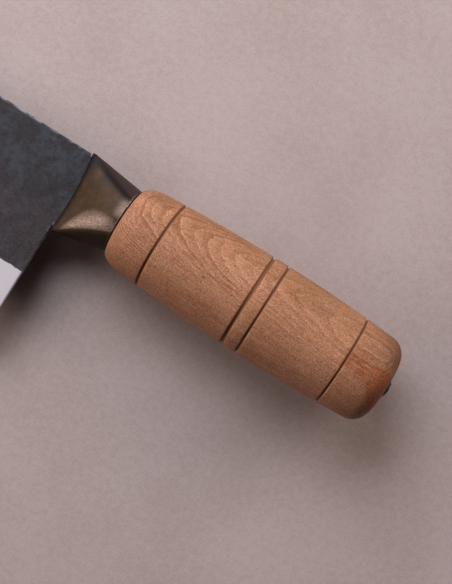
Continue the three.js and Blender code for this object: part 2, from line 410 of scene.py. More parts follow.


# Painted reflection on brushed wear: a pale crescent along the lower ridge, above a crisp lower line,
# below a soft arch.
crescentShape = {
    "start": 2.2,
    "low": -14.3,                   # lower line: height at the start, rise and sag
    "rise": 0.71,
    "sag": 0.0105,
    "lowEdge": (-0.5, 0.4),
    "ridgeEdge": (-2.0, 0.2),
    "archTop": -1.2,
    "archMiddle": 15.0,
    "archBend": 0.0074,
    "archFade": (0.8, -1.7),
    "grit": (2.2, 4, 0.8),
    "gritBy": 2.4,
    "least": 0.4,
    "deeper": (-0.5, -5.5),         # painted reflection paler well below the arch
    "rearward": (9.0, 17.0),        # and toward the handle
    "paler": 0.35,
}


def crescent(kit, place, x, y):
    plus, times, minus, within = kit.plus, kit.times, kit.minus, kit.within
    shape = crescentShape
    far = minus(x, shape["start"])
    lowLine = minus(times(far, shape["rise"]), times(kit.power(far, 2.0), shape["sag"]))
    overLow = minus(minus(y, shape["low"]), lowLine)
    aside = kit.size(minus(x, shape["archMiddle"]))
    arch = times(kit.power(aside, 3.0), shape["archBend"])
    overArch = plus(minus(y, shape["archTop"]), arch)
    grit = kit.about(kit.grain(place, *shape["grit"]), shape["gritBy"])
    inside = within(plus(overArch, grit), *shape["archFade"])
    deeper = times(within(overArch, *shape["deeper"]), shape["paler"])
    rearward = times(within(x, *shape["rearward"]), shape["paler"])
    paler = plus(shape["least"], deeper, rearward)
    # brushed wear with a painted reflection
    brushedAndSheen = times(within(overLow, *shape["lowEdge"]), inside, paler)
    return brushedAndSheen, within(overLow, *shape["ridgeEdge"])


# Browned bronze, pale where it is brushed and handled and where highlights and reflections are painted,
# with painted shade at the mouth, along the upper ridge, on the upper flank and under the lower ridge
bronze = {
    "brown": (0.064, 0.034, 0.0155),
    "dull": (0.037, 0.021, 0.012),
    "heat": (0.019, 0.0155, 0.0175),
    "spot": (0.098, 0.049, 0.017),
    # painted shade: darker colour of the upper flank
    "flank": (0.036, 0.0232, 0.021),
    # worn metal, also painted highlights and reflections
    "pale": (0.35, 0.282, 0.243),
    "cloud": (0.35, 5, 0.6),
    "cloudFrom": (0.3, 0.75),
    "fine": (2.4, 4, 0.75),
    "fineBy": 1.6,
    "grit": (3.4, 3, 0.85),
    "gritFrom": (0.4, 0.62),
    "heatAbove": (4.5, 11.0),
    "heatWave": 8.0,
    "heatShare": 0.85,
    "spotAt": (4.6, 8.8),
    "spotHalf": (1.8, 2.8),
    "spotRagged": 1.6,
    "spotFade": (2.4, 0.3),
    "spotShare": 0.55,
    "crease": (12.6, -0.3),         # line of the upper ridge: height at the heel and slope
    # painted dark reflection: a band along that line
    "creaseWidth": (1.8, 0.2),
    "creaseShade": (1.0, 0.32),
    "flankFrom": (-0.4, 0.8),       # painted shade above that line
    "flankShare": 0.85,
    "mouthLine": (0.6, -0.063, -0.00517),  # scooped mouth: middle, slope and bend
    "mouthDark": (0.3, 2.6),        # painted shade behind that line
    "mouthShade": (0.25, 1.0),
    "underShade": (0.35, 1.0),      # painted shade: darker below the lower ridge than above it
    "bellyGrit": (0.04, 1.24),
    "bellyShare": 0.85,
    "besideMiddle": 3.2,            # painted highlight in front of the rim
    "besideHalf": (4.6, 2.0),
    "besideFrom": (15.6, 19.0),
    "besideGrit": (0.2, 1.0),
    "besideShare": 0.5,
    # worn rim edge with a painted glint, brightest around rimMiddle
    "rimWear": (1.6, 3, 0.6),
    "rimWearFrom": (0.38, 0.6),
    "rimMiddle": 2.5,
    "rimHalf": (8.0, 4.0),
    "rimBright": (0.2, 0.95),
    "rimShare": 0.8,
    "specksFrom": (0.54, 0.7),
    "specksShare": 0.08,
    "metal": (0.15, 1.0),
    "rough": (0.4, 0.54),
    "smoother": 0.18,               # where it is worn and where highlights are painted
    "cloudRelief": 2.0,
    "reliefDeep": 0.00004,
    "specular": 0.12,
}


def makeBronze():
    finish, kit, shader, place = newFinish("brownedBronze")
    plus, times, minus, within, tint = kit.plus, kit.times, kit.minus, kit.within, kit.tint
    x, y = kit.split(place)[:2]
    cloud, fine = (kit.grain(place, *bronze[layer]) for layer in ("cloud", "fine"))
    grit = within(kit.grain(place, *bronze["grit"]), *bronze["gritFrom"])
    browned = plus(within(cloud, *bronze["cloudFrom"]), kit.about(fine, bronze["fineBy"]))
    color = tint(kit.clamped(browned), bronze["dull"], bronze["brown"])
    upper = within(plus(y, kit.about(cloud, bronze["heatWave"])), *bronze["heatAbove"])
    color = tint(times(upper, bronze["heatShare"]), color, bronze["heat"])
    spot = plus(kit.oval(x, y, bronze["spotAt"], bronze["spotHalf"]), times(fine, bronze["spotRagged"]))
    color = tint(times(within(spot, *bronze["spotFade"]), bronze["spotShare"]), color, bronze["spot"])
    height, slope = bronze["crease"]
    overCrease = minus(y, plus(height, times(x, slope)))
    # Painted shade on the upper flank.
    flank = times(within(overCrease, *bronze["flankFrom"]), bronze["flankShare"])
    color = tint(flank, color, bronze["flank"])
    # Painted dark reflection along the upper ridge.
    crease = within(kit.size(overCrease), *bronze["creaseWidth"])
    color = kit.scaleColor(color, kit.between(crease, *bronze["creaseShade"]))
    # Painted shade behind the mouth line.
    middle, slope, bend = bronze["mouthLine"]
    mouth = plus(middle, times(y, slope), times(kit.power(y, 2.0), bend))
    behind = within(minus(x, mouth), *bronze["mouthDark"])
    color = kit.scaleColor(color, kit.between(behind, *bronze["mouthShade"]))
    brushedAndSheen, overRidge = crescent(kit, place, x, y)
    # Painted shade below the lower ridge.
    color = kit.scaleColor(color, kit.between(overRidge, *bronze["underShade"]))
    # Painted reflection on the brushed crescent.
    belly = kit.clamped(times(brushedAndSheen, kit.between(grit, *bronze["bellyGrit"])))
    # Painted highlight in front of the rim.
    beside = within(kit.size(minus(y, bronze["besideMiddle"])), *bronze["besideHalf"])
    beside = times(beside, within(x, *bronze["besideFrom"]), kit.between(grit, *bronze["besideGrit"]))
    # Rim wear with a painted glint.
    rim = within(kit.grain(place, *bronze["rimWear"]), *bronze["rimWearFrom"])
    rimBright = within(kit.size(minus(y, bronze["rimMiddle"])), *bronze["rimHalf"])
    rim = times(kit.painted("cut"), rim, kit.between(rimBright, *bronze["rimBright"]))
    handledAndGlint = kit.most(times(rim, bronze["rimShare"]), times(beside, bronze["besideShare"]))
    # Brushed wear with painted reflection on the crescent, rim wear with painted glints.
    worn = kit.most(times(belly, bronze["bellyShare"]), handledAndGlint)
    specks = times(within(fine, *bronze["specksFrom"]), bronze["specksShare"])
    color = tint(kit.most(worn, specks), color, bronze["pale"])
    rough = minus(kit.between(fine, *bronze["rough"]), times(worn, bronze["smoother"]))
    dress(kit, shader, {"Base Color": color, "Metallic": kit.between(worn, *bronze["metal"]),
                        "Roughness": rough, "Specular IOR Level": bronze["specular"]})
    raiseGrain(kit, shader, plus(fine, times(cloud, bronze["cloudRelief"])), bronze["reliefDeep"])
    return finish


# Blade: shape of its layers, from the heel, the spine and the edge
blade = {
    "length": 180.0,
    "spine": 13.4,
    "heel": 70.0,
    "shoulder": 46.0,       # top of the bevel, from the spine
    "edgeFlat": 85.0,
    "edgeRise": 7.0,
    "clip": 52.0,
    "thick": 3.0,
    "shoulderThick": 2.5,
    "thinning": 0.8,
    "edgeThick": 0.3,
    "core": 1.0,
    "weld": 0.04,
    "thinnest": 0.02,       # of a cladding, just above its lower line
    "ease": 0.45,           # rounding of the spine and heel
    "easeDeep": 0.6,
    "unevenness": 0.05,     # of the forged flats
    "forgedFrom": 6.0,      # above the bevel
    "lumps": ((0.11, 7.0, 1.0), (0.31, 3.0, 0.5)),  # how many per mm, apart on the two sides, share
    "lumpSink": 0.6,
    "lumpSwing": 0.4,
    "wearWidth": 1.2,       # of the worn rim, to its rounding
    "spineWear": 0.45,
    "heelWear": 0.3,
    "easeSteps": (0, 0.08, 0.3, 0.65),
    "heelSteps": (1, 1.25),
    "stubSteps": (1, 0.66, 0.33),
    "spineColumns": 60,
    "clipColumns": 40,
    "stubRows": 12,
    "flatRows": 10,
    "crisp": 0.25,          # row above the bevel's upper line
    "bevelRows": 7,
    "bevelStart": 0.015,    # row below that line, as a share of the bevel
    "onLine": 1e-4,         # counts as on the cladding's lower line
    "sameColumn": 1e-6,
    "merge": 0.002,
    "sliver": 0.001,
    "coreSharp": 10,
}
shoulderY = blade["spine"] - blade["shoulder"]

# Black forge scale on the flats, ground steel on the bevel
forgeScale = {
    "black": (0.0168, 0.0150, 0.0196),
    "blue": (0.0235, 0.0285, 0.0365),
    "rust": (0.034, 0.026, 0.031),
    "speck": (0.16, 0.16, 0.17),
    "ground": (0.60, 0.612, 0.665),
    "cloud": (0.11, 5, 0.62),
    "blueFrom": (0.4, 0.62),
    "patchy": (0.45, 5, 0.65),
    "fine": (3.0, 4, 0.7),
    "fineBy": 4.6,
    "patchyShade": (-0.1, 2.2),
    "rusty": (0.16, 4, 0.6),
    "rustFrom": (0.56, 0.72),
    "rustBelow": (-7.0, -20.0),
    "rustWave": 12.0,
    "rustShare": 0.6,
    "specks": (2.2, 2, 0.5, (0.5, 1, 1)),
    "specksFrom": (0.7, 0.78),
    "specksShare": 0.14,
    "lines": (2.0, 3, 0.6, (0.12, 6, 1)),
    "linesShade": (0.97, 1.03),
    "ragged": (0.7, 4, 0.65, (0.5, 1, 1)),
    "raggedBy": 1.3,        # upper line of the bevel
    "bevelSoft": 0.15,
    "wear": (0.9, 3, 0.55, (0.35, 1, 1)),
    "wearFrom": (0.42, 0.66),
    "metal": (0.25, 1.0),
    "rough": (0.45, 0.7),
    "smoother": 0.25,       # where it is ground or worn
    "relief": (1.6, 0.5, 0.01),  # patches, fine scale, ground lines
    "reliefDeep": 0.00006,
    "specular": 0.3,
}
edgeSteel = {
    "color": (0.68, 0.67, 0.69),
    "lines": (2.4, 3, 0.6, (0.12, 6, 1)),
    "cloud": (0.2, 3, 0.5),
    "shade": (0.85, 1.0),
    "rough": (0.27, 0.43),
    "reliefDeep": 0.00001,
}


def makeScale():
    finish, kit, shader, place = newFinish("forgeScale")
    plus, times, within, tint = kit.plus, kit.times, kit.within, kit.tint
    y = kit.split(place)[1]
    cloud, patchy, fine, rusty, specks, lines, ragged, wear = (
        kit.grain(place, *forgeScale[layer])
        for layer in ("cloud", "patchy", "fine", "rusty", "specks", "lines", "ragged", "wear"))
    color = tint(within(cloud, *forgeScale["blueFrom"]), forgeScale["black"], forgeScale["blue"])
    low = within(kit.minus(y, times(cloud, forgeScale["rustWave"])), *forgeScale["rustBelow"])
    rust = kit.most(within(rusty, *forgeScale["rustFrom"]), low)
    color = tint(times(rust, forgeScale["rustShare"]), color, forgeScale["rust"])
    specks = times(within(specks, *forgeScale["specksFrom"]), forgeScale["specksShare"])
    color = tint(specks, color, forgeScale["speck"])
    dust = plus(kit.about(fine, forgeScale["fineBy"]), kit.between(patchy, *forgeScale["patchyShade"]))
    color = kit.scaleColor(color, dust)
    line = plus(y, kit.about(ragged, forgeScale["raggedBy"]))
    bright = within(line, shoulderY + forgeScale["bevelSoft"], shoulderY - forgeScale["bevelSoft"])
    ground = kit.scaleColor(forgeScale["ground"], kit.between(lines, *forgeScale["linesShade"]))
    color = tint(bright, color, ground)
    worn = times(kit.painted("cut"), within(wear, *forgeScale["wearFrom"]))
    color = tint(worn, color, forgeScale["ground"])
    metal = kit.most(bright, worn)
    rough = kit.minus(kit.between(patchy, *forgeScale["rough"]), times(metal, forgeScale["smoother"]))
    dress(kit, shader, {"Base Color": color, "Metallic": kit.between(metal, *forgeScale["metal"]),
                        "Roughness": rough, "Specular IOR Level": forgeScale["specular"]})
    patches, flakes, scratches = (
        times(layer, by) for layer, by in zip((patchy, fine, lines), forgeScale["relief"]))
    bumps = times(plus(patches, flakes), kit.minus(1.0, bright))
    raiseGrain(kit, shader, plus(bumps, scratches), forgeScale["reliefDeep"])
    return finish


def makeEdgeSteel():
    finish, kit, shader, place = newFinish("edgeSteel")
    lines, cloud = (kit.grain(place, *edgeSteel[layer]) for layer in ("lines", "cloud"))
    shade = kit.between(kit.plus(lines, cloud), *edgeSteel["shade"])
    color = kit.scaleColor(edgeSteel["color"], shade)
    rough = kit.between(lines, *edgeSteel["rough"])
    dress(kit, shader, {"Base Color": color, "Metallic": 1.0, "Roughness": rough})
    raiseGrain(kit, shader, lines, edgeSteel["reliefDeep"])
    return finish


# Black iron of the rod and dark resin: the same clouded finish
clouded = {"cloud": (0.9, 5, 0.65), "rougher": 0.2, "reliefDeep": 0.0002}
iron = {"deep": (0.006, 0.006, 0.007), "pale": (0.03, 0.03, 0.032), "rough": 0.45, "metal": 0.4}
resin = {"deep": (0.03, 0.02, 0.014), "pale": (0.07, 0.05, 0.036), "rough": 0.5, "metal": 0.0}


def makeClouded(name, tones):
    finish, kit, shader, place = newFinish(name)
    cloud = kit.grain(place, *clouded["cloud"])
    color = kit.tint(cloud, tones["deep"], tones["pale"])
    rough = kit.plus(tones["rough"], kit.times(cloud, clouded["rougher"]))
    dress(kit, shader, {"Base Color": color, "Metallic": tones["metal"], "Roughness": rough})
    raiseGrain(kit, shader, cloud, clouded["reliefDeep"])
    return finish


finishes = {
    "wood": makeWood(),
    "bronze": makeBronze(),
    "forge_scale": makeScale(),
    "core_steel": makeEdgeSteel(),
    "tang_iron": makeClouded("hammeredIron", iron),
    "resin": makeClouded("beddingResin", resin),
}
print("finishes made:", len(finishes))


# One tree skins every piece that is round or turns from flat to round:
# a line of rings (x, half height, half thickness) with the bend of each ring beside it.
skin = {
    "scoopInputs": ("Scoop middle", "Scoop slope", "Scoop bend"),
    "nearZero": 1e-5,
    "merge": 0.0005,
}


def ringTree():
    tree = bpy.data.node_groups.new("ringSkin", "GeometryNodeTree")
    face = tree.interface
    face.new_socket("Rings", in_out="INPUT", socket_type="NodeSocketGeometry")
    face.new_socket("Around", in_out="INPUT", socket_type="NodeSocketInt")
    for name in skin["scoopInputs"]:
        face.new_socket(name, in_out="INPUT", socket_type="NodeSocketFloat")
    face.new_socket("Finish", in_out="INPUT", socket_type="NodeSocketMaterial")
    face.new_socket("Skin", in_out="OUTPUT", socket_type="NodeSocketGeometry")
    kit = nodeKit(tree)
    add, feed, calc, plus, times = kit.add, kit.feed, kit.calc, kit.plus, kit.times
    given = add("NodeGroupInput").outputs
    count = add("GeometryNodeAttributeDomainSize", component="MESH")
    feed(count.inputs[0], given["Rings"])
    points = count.outputs["Point Count"]
    grid = add("GeometryNodeMeshGrid")
    feed(grid.inputs["Vertices X"], points)
    feed(grid.inputs["Vertices Y"], plus(given["Around"], 1))
    position = add("GeometryNodeInputPosition").outputs[0]
    flatX, flatY = kit.split(position)[:2]
    index = calc("ROUND", times(plus(flatX, 0.5), kit.minus(points, 1)))

    def ringValue(value, kind):
        sample = add("GeometryNodeSampleIndex", data_type=kind, domain="POINT")
        feed(sample.inputs["Geometry"], given["Rings"])
        feed(sample.inputs["Value"], value)
        feed(sample.inputs["Index"], index)
        return sample.outputs[0]

    def named(name, kind):
        node = add("GeometryNodeInputNamedAttribute", data_type=kind)
        node.inputs["Name"].default_value = name
        return node.outputs["Attribute"]

    ringX, tall, thick = kit.split(ringValue(position, "FLOAT_VECTOR"))
    bend, drop, scoop = kit.split(ringValue(named("bend", "FLOAT_VECTOR"), "FLOAT_VECTOR"))
    cut = ringValue(named("cut", "FLOAT"), "FLOAT")
    turn = times(calc("FRACT", plus(flatY, 0.5)), -2 * math.pi)

    def rounded(operation, half):
        wave = calc(operation, turn)
        wave = times(wave, calc("GREATER_THAN", kit.size(wave), skin["nearZero"]))
        return times(half, times(calc("SIGN", wave), kit.power(kit.size(wave), bend)))

    y = kit.minus(rounded("COSINE", tall), drop)
    z = rounded("SINE", thick)
    middle, slope, curve = (given[name] for name in skin["scoopInputs"])
    sag = plus(middle, times(plus(slope, times(curve, y)), y))
    x = plus(ringX, times(scoop, sag))
    # the rings' wear and painted light go on to the finishes
    keep = add("GeometryNodeStoreNamedAttribute", data_type="FLOAT", domain="POINT")
    feed(keep.inputs["Geometry"], grid.outputs["Mesh"])
    keep.inputs["Name"].default_value = "cut"
    feed(keep.inputs["Value"], cut)
    move = add("GeometryNodeSetPosition")
    feed(move.inputs["Geometry"], keep.outputs[0])
    feed(move.inputs["Position"], kit.join(x, y, z))
    merge = add("GeometryNodeMergeByDistance")
    feed(merge.inputs["Geometry"], move.outputs[0])
    merge.inputs["Distance"].default_value = skin["merge"]
    real = add("GeometryNodeRealizeInstances")
    feed(real.inputs[0], merge.outputs[0])
    paint = add("GeometryNodeSetMaterial")
    feed(paint.inputs["Geometry"], real.outputs[0])
    feed(paint.inputs["Material"], given["Finish"])
    feed(add("NodeGroupOutput").inputs[0], paint.outputs[0])
    return tree


skinTree = ringTree()


def setInput(modifier, name, value):
    sockets = modifier.node_group.interface.items_tree
    socket = next(s for s in sockets if s.name == name and s.in_out == "INPUT")
    modifier[socket.identifier] = value


def addPiece(name, mesh, finish, sharp=30):
    mesh.transform(knifeMatrix)
    mesh.shade_smooth()
    mesh.set_sharp_from_angle(angle=math.radians(sharp))
    if not mesh.materials:
        mesh.materials.append(finish)
    piece = bpy.data.objects.new(name, mesh)
    scene.collection.objects.link(piece)
    return piece


# Rings are dictionaries: x, tall, thick, and where needed power, drop, scoop and a share of wear and
# painted light, which is painted shade in the handle's grooves and hole, wear and a painted glint at the
# sleeve's rim.
def skinPiece(name, rings, around, finish, scoop=(0, 0, 0), sharp=30):
    line = bpy.data.meshes.new(name + "Rings")
    line.from_pydata([(ring["x"], ring["tall"], ring["thick"]) for ring in rings], [], [])
    line.attributes.new("bend", "FLOAT_VECTOR", "POINT")
    line.attributes.new("cut", "FLOAT", "POINT")
    for i, ring in enumerate(rings):
        bend = (ring.get("power", 1.0), ring.get("drop", 0.0), ring.get("scoop", 0.0))
        line.attributes["bend"].data[i].vector = bend
        line.attributes["cut"].data[i].value = ring.get("cut", 0.0)
    guide = bpy.data.objects.new(name + "Rings", line)
    scene.collection.objects.link(guide)
    modifier = guide.modifiers.new("ringSkin", "NODES")
    modifier.node_group = skinTree
    setInput(modifier, "Around", around)
    for label, value in zip(skin["scoopInputs"], scoop):
        setInput(modifier, label, float(value))
    setInput(modifier, "Finish", finish)
    ready = guide.evaluated_get(bpy.context.evaluated_depsgraph_get())
    mesh = bpy.data.meshes.new_from_object(ready)
    guide.modifiers.remove(modifier)
    bpy.data.objects.remove(guide)
    return addPiece(name, mesh, finish, sharp)


# Handle
handle = {
    "front": 20.3,          # from the heel
    "length": 102.0,
    "belly": 17.0,
    "bellyAt": 57.5,
    "frontRadius": 14.75,
    "frontFace": 12.0,
    "buttRadius": 15.1,
    "buttFace": 9.0,
    "frontRound": 7.5,
    "buttRound": 6.0,
    "dome": 0.5,
    "domeSteps": (0.85, 0.7, 0.55, 0.42),
    "grooves": ((14.55, 0.9), (48.75, 1.25), (54.4, 0.8), (85.4, 0.7)),  # from the front, width
    "grooveDepth": 0.8,
    "edgeEase": 0.35,       # rounding of the groove's lips
    # a groove's profile: share of the ease or of half the width, of the depth, of the painted shade
    "lip": ((1.0, 0.0, 0.0), (0.55, 0.05, 0.0), (0.2, 0.15, 0.15)),
    "wall": ((0.94, 0.34, 0.5), (0.76, 0.72, 0.9), (0.5, 0.93, 1.0), (0.2, 1.0, 1.0)),
    "seat": 11.0,
    "seatDepth": 6.3,
    "bore": 3.7,
    "hole": 2.9,
    "holeLength": 8.0,
    # painted shade inside the tang hole
    "holeTone": 0.6,
    "roundSteps": 12,
    "step": 2.2,            # between rings on the body
    "bodySteps": 39,
    "around": 144,
    "sharp": 50,
}


def handleRadius(far):
    ahead = far < handle["bellyAt"]
    reach = handle["bellyAt"] if ahead else handle["length"] - handle["bellyAt"]
    share = abs(far - handle["bellyAt"]) / reach
    end = handle["frontRadius"] if ahead else handle["buttRadius"]
    radius = handle["belly"] - (handle["belly"] - end) * share * share
    front = max(0.0, 1 - far / handle["frontRound"])
    butt = max(0.0, 1 - (handle["length"] - far) / handle["buttRound"])
    radius -= (handle["frontRadius"] - handle["frontFace"]) * (1 - math.sqrt(1 - front * front))
    return radius - (handle["buttRadius"] - handle["buttFace"]) * (1 - math.sqrt(1 - butt * butt))


def grooveRings(at, width):
    half = width / 2
    steps = [(half + handle["edgeEase"] * out, deep, dark) for out, deep, dark in handle["lip"]]
    steps += [(half * out, deep, dark) for out, deep, dark in handle["wall"]]
    rings = []
    for side in (-1, 1):
        for off, deep, dark in steps:
            far = at + side * off
            rings.append((far, handleRadius(far) - handle["grooveDepth"] * deep, dark))
    return rings


def handleRings():
    length, count = handle["length"], handle["roundSteps"]
    rounding = [1 - math.cos(math.pi / 2 * i / count) for i in range(count + 1)]
    spots = [share * handle["frontRound"] for share in rounding]
    spots += [length - share * handle["buttRound"] for share in rounding]
    spots += [handle["frontRound"] + handle["step"] * (i + 1) for i in range(handle["bodySteps"])]
    clear = [far for far in spots if all(abs(far - at) > width for at, width in handle["grooves"])]
    outside = [(far, handleRadius(far), 0.0) for far in clear]
    for at, width in handle["grooves"]:
        outside += grooveRings(at, width)
    outside.sort()
    for share in handle["domeSteps"]:
        outside.append((length + handle["dome"] * (1 - share * share), handle["buttFace"] * share, 0.0))
    outside.append((length + handle["dome"], handle["hole"], handle["holeTone"]))
    holeEnd = length - handle["holeLength"]
    for far, radius in ((holeEnd, "hole"), (holeEnd, "bore"), (handle["seatDepth"], "bore"),
                        (handle["seatDepth"], "seat"), (0.0, "seat")):
        outside.append((far, handle[radius], 1.0))
    outside.append(outside[0])
    # dark is painted shade: on the groove walls and floors, in the tang hole and the bore
    return [{"x": handle["front"] + far, "tall": radius, "thick": radius, "cut": dark}
            for far, radius, dark in outside]


turnedHandle = skinPiece("turnedHandle", handleRings(), handle["around"], finishes["wood"],
                         sharp=handle["sharp"])
print("handle turned:", len(turnedHandle.data.polygons), "faces")


# Sleeve
sleeve = {
    "rimX": 19.85,
    "end": 26.3,
    "mouthTop": 15.1,
    "mouthDrop": 0.9,
    "mouthHalf": 2.6,
    "square": 5.0,
    "cornerFade": 3.5,
    "flareSlope": 1.38,
    "rim": 11.6,
    "rimEase": 0.3,
    "rimSteps": 4,
    "rimFrom": 0.985,       # share of the length where the rim's rounding starts
    # wear and painted glint rise over this share of the length
    "rimBright": (0.955, 0.985),
    "spigot": 10.7,
    "wall": 1.4,
    "slotHalf": 1.8,
    "slotSquare": 14.0,
    "scoop": bronze["mouthLine"],  # as the finish has it
    "lip": 0.7,             # rounding of the mouth's edge
    "lipTall": 0.4,         # less of it on the height
    "lipLength": 1.6,
    "lipSteps": 8,
    "flareSteps": 36,
    "hollowSteps": 24,
    "around": 192,
    "sharp": 40,
}


def sleeveRing(share, top, half, square, rim):
    slope = sleeve["flareSlope"]
    swell = slope * share - (slope - 1) * share ** (slope / (slope - 1))
    return {
        "x": sleeve["rimX"] * share,
        "tall": lerp(top, rim, share),
        "thick": lerp(half, rim, swell),
        "power": 2 / lerp(2, square, (1 - share) ** sleeve["cornerFade"]),
        "drop": sleeve["mouthDrop"] * (1 - share),
        "scoop": 1 - share,
    }


def roundRing(x, radius, cut=0.0):
    return {"x": x, "tall": radius, "thick": radius, "cut": cut}


def sleeveRings():
    lipShare = sleeve["lipLength"] / sleeve["rimX"]
    count = sleeve["lipSteps"]
    shares = [lipShare * (1 - math.cos(math.pi / 2 * i / count)) for i in range(count)]
    count = sleeve["flareSteps"]
    shares += [lerp(lipShare, sleeve["rimFrom"], i / count) for i in range(count + 1)]
    rings = []
    for share in shares:
        ring = sleeveRing(share, sleeve["mouthTop"], sleeve["mouthHalf"], sleeve["square"], sleeve["rim"])
        bend = max(0.0, 1 - share / lipShare)
        loss = sleeve["lip"] * (1 - math.sqrt(1 - bend * bend))
        ring["thick"] -= loss
        ring["tall"] -= loss * sleeve["lipTall"]
        # wear and a painted glint toward the rim
        ring["cut"] = smoothStep(share, *sleeve["rimBright"])
        rings.append(ring)
    ease, count = sleeve["rimEase"], sleeve["rimSteps"]
    for i in range(count + 1):
        turn = math.pi / 2 * i / count
        x = sleeve["rimX"] - ease * (1 - math.sin(turn))
        # the rounded rim: full wear and painted glint
        rings.append(roundRing(x, sleeve["rim"] - ease * (1 - math.cos(turn)), 1.0))
    spigot, inner = sleeve["spigot"], sleeve["spigot"] - sleeve["wall"]
    for x, radius in ((sleeve["rimX"], spigot), (sleeve["end"], spigot), (sleeve["end"], inner)):
        rings.append(roundRing(x, radius))
    top, count = sleeve["mouthTop"] - sleeve["wall"], sleeve["hollowSteps"]
    for i in range(count, -1, -1):
        rings.append(sleeveRing(i / count, top, sleeve["slotHalf"], sleeve["slotSquare"], inner))
    rings.append(dict(rings[0]))
    return rings


fishtailSleeve = skinPiece("fishtailSleeve", sleeveRings(), sleeve["around"], finishes["bronze"],
                           sleeve["scoop"], sleeve["sharp"])
print("sleeve skinned:", len(fishtailSleeve.data.polygons), "faces")


# Blade layers, with the stub that enters the sleeve
stub = {"length": 12.586, "top": 12.5, "bottom": 14.3, "tip": 5.5, "notch": 2.0, "root": 1.0}
edgeDrop = blade["heel"] - blade["spine"]
claddingNear = (blade["core"] + blade["weld"]) / 2
coreHalf = (blade["core"] - blade["weld"]) / 2


def edgeY(x):
    climb = min(1.0, max(0.0, (-x - blade["edgeFlat"]) / (blade["length"] - blade["edgeFlat"])))
    return blade["edgeRise"] * climb * climb - edgeDrop


def topY(x):
    tipY = edgeY(-blade["length"])
    share = (x + blade["length"]) / blade["clip"]
    return min(blade["spine"], lerp(tipY, blade["spine"], share))


def flatZ(x, y):
    thinned = x * blade["thinning"] / blade["length"]
    narrowed = (y - blade["spine"]) * (blade["thick"] - blade["shoulderThick"]) / blade["shoulder"]
    return (blade["thick"] + thinned + narrowed) / 2


def bevelSlope(x):
    return (flatZ(x, shoulderY) - blade["edgeThick"] / 2) / (shoulderY - edgeY(x))


def faceZ(x, y):
    ground = blade["edgeThick"] / 2 + bevelSlope(x) * (y - edgeY(x))
    return min(flatZ(x, y), ground)


def outerZ(x, y, side):
    z = faceZ(x, y)
    ease = blade["ease"]
    gaps = [topY(x) - y] if x <= 0 else []
    if y < -stub["bottom"]:
        gaps.append(-x)
    for gap in gaps:  # eased spine and heel
        bend = max(0.0, 1 - gap / ease)
        z -= ease * blade["easeDeep"] * (1 - math.sqrt(max(0.0, 1 - bend * bend)))
    forged = smoothStep(y, shoulderY, shoulderY + blade["forgedFrom"])
    lumps = sum(share * noise.noise(Vector((x * many, y * many, side * apart)))
                for many, apart, share in blade["lumps"])
    return z - blade["unevenness"] * forged * (blade["lumpSink"] + blade["lumpSwing"] * lumps)


def wornRim(x, y):
    if x > 0:
        return 0.0
    onHeel = y <= -stub["bottom"]
    gap = min(topY(x) - y, -x) if onHeel else topY(x) - y
    amount = blade["heelWear"] if onHeel else blade["spineWear"]
    return (1 - smoothStep(gap, 0, blade["ease"] * blade["wearWidth"])) * amount


def laminationY(x):
    return edgeY(x) + (claddingNear - blade["edgeThick"] / 2) / bevelSlope(x)


def claddingZ(x, y, side):
    if y <= laminationY(x) + blade["onLine"]:
        return claddingNear
    return max(claddingNear + blade["thinnest"], outerZ(x, y, side))


def coreZ(x, y):
    return min(coreHalf, faceZ(x, y))


# Columns run from the stub to the tip, rows from the spine to the bottom line.
def bladeGrid(bottom):
    ease, rowCount = blade["ease"], blade["stubRows"]
    clipStart = blade["clip"] - blade["length"]
    straight = -clipStart - stub["notch"]
    columns = [stub["length"] * share for share in blade["stubSteps"]]
    columns += [-ease * share for share in blade["easeSteps"] + blade["heelSteps"]]
    count = blade["spineColumns"]
    columns += [-stub["notch"] - straight * i / count for i in range(count + 1)]
    count = blade["clipColumns"]
    columns += [clipStart - blade["clip"] * (i + 1) / count for i in range(count)]
    tops = [blade["spine"] - ease * share for share in blade["easeSteps"]]
    middle = [lerp(stub["top"], -stub["bottom"], i / rowCount) for i in range(rowCount + 1)]
    count = blade["flatRows"]
    lower = [lerp(-stub["bottom"], shoulderY, i / count) for i in range(1, count)]
    rows = tops + middle + lower + [shoulderY + blade["crisp"], shoulderY]
    count = blade["bevelRows"]
    bevel = [blade["bevelStart"]] + [(i + 1) / count for i in range(count)]
    firstStub = len(tops)
    spots = []
    for x in columns:
        if x > 0:
            share = (x + stub["root"]) / (stub["length"] + stub["root"])
            high = lerp(stub["top"], stub["tip"], share)
            low = -lerp(stub["bottom"], stub["tip"], share)
            line = [lerp(high, low, (r - firstStub) / rowCount) for r in range(len(rows))]
            line += [low] * len(bevel)
        else:
            top = topY(x)
            gap = blade["spine"] - top
            line = [min(y, top - ease) if r >= firstStub else y - gap for r, y in enumerate(rows)]
            line = [max(y, bottom(x)) for y in line]
            line += [lerp(line[-1], bottom(x), share) for share in bevel]
        spots.append([(x, y) for y in line])
    faces = []
    for c, x in enumerate(columns[:-1]):
        for r in range(len(spots[0]) - 1):
            besideStub = x > 0 and not firstStub <= r < firstStub + rowCount
            inNotch = x > -stub["notch"] + blade["sameColumn"] and r < firstStub
            if not besideStub and not inNotch:
                faces.append((c, r))
    return spots, faces


